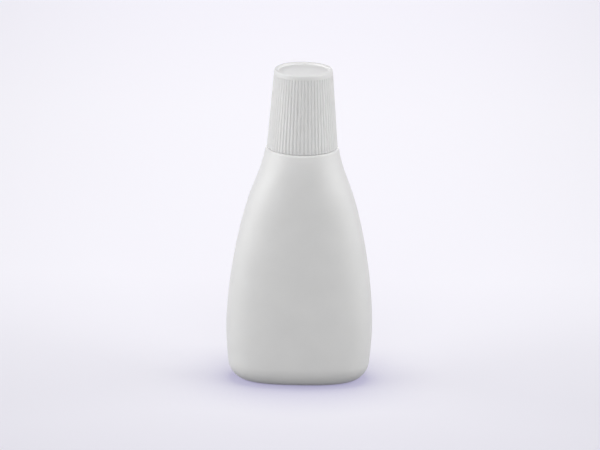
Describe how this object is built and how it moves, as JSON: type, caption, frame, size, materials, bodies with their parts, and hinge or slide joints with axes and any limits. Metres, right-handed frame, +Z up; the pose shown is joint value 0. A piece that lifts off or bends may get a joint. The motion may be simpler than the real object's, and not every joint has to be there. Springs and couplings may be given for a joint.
{
  "type": "sunscreen bottle",
  "caption": "Flat oval squeeze bottle for sun lotion with a round shoulder, a nozzle plug in its neck and a tall tapered screw cap with a ribbed side and a dished top.",
  "frame": {"origin": "middle of the base, in the plane that the bottle stands on", "axes": "+Z up along the bottle, X across its width, Y through its depth, front faces -Y"},
  "size_m": [0.063, 0.034, 0.1389],
  "materials": {
    "bottle_hdpe": "off-white blown polyethylene, fine satin skin",
    "plug_ldpe": "natural soft polyethylene, waxy",
    "cap_pp": "white moulded polypropylene, satin",
    "insert_pp": "white moulded polypropylene, plain",
    "wad_foam": "white closed-cell foam"
  },
  "bodies": {
    "flask": {"bottle": "bottle_hdpe", "nozzle_plug": "plug_ldpe"},
    "seal": {"seal_wad": "wad_foam"},
    "cap": {"cap_shell": "cap_pp", "cap_insert": "insert_pp"}
  },
  "joints": [
    {"name": "cap_lift", "type": "slide", "parent": "flask", "child": "seal", "axis": [0, 0, 1], "range_m": [0, 0.03175]},
    {"name": "cap_turn", "type": "hinge", "parent": "seal", "child": "cap", "pos_m": [0, 0, 0.1048], "axis": [0, 0, 1], "range_deg": [0, 3600]}
  ],
  "couplings": [
    {"joint": "cap_lift", "follows": "cap_turn", "m_per_rad": 0.00050531}
  ]
}
